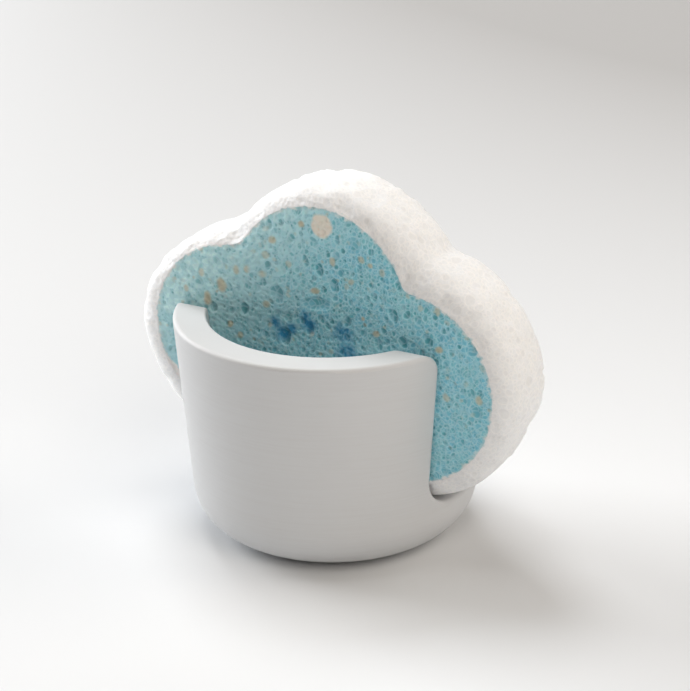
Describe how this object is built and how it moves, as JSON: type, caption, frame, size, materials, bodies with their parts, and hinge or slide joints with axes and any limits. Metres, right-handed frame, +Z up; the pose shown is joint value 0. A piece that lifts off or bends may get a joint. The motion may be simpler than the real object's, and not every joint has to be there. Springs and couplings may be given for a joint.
{
  "type": "sponge holder",
  "caption": "Thick-walled round cup with opposite slots in its wall that hold an upright cloud-shaped sponge, and a non-slip pad under its base.",
  "frame": {"origin": "middle of the pad's underside, where the holder rests on a worktop", "axes": "+Z up, X through the slots from the sponge's left lobe to its lower right lobe, -Y the side that the sponge's blue face looks to"},
  "size_m": [0.1086, 0.0798, 0.094],
  "materials": {
    "cup_ceramic": "matte",
    "pad_silicone": "matte",
    "sponge_white": "matte",
    "sponge_blue": "matte"
  },
  "bodies": {
    "holder": {"holder_cup": "cup_ceramic", "base_pad": "pad_silicone"},
    "sponge": {"sponge_jacket": "sponge_white", "sponge_core": "sponge_blue"}
  },
  "joints": [
    {"name": "sponge_lift", "type": "slide", "parent": "holder", "child": "sponge", "axis": [0, 0, 1], "range_m": [0, 0.06]}
  ]
}
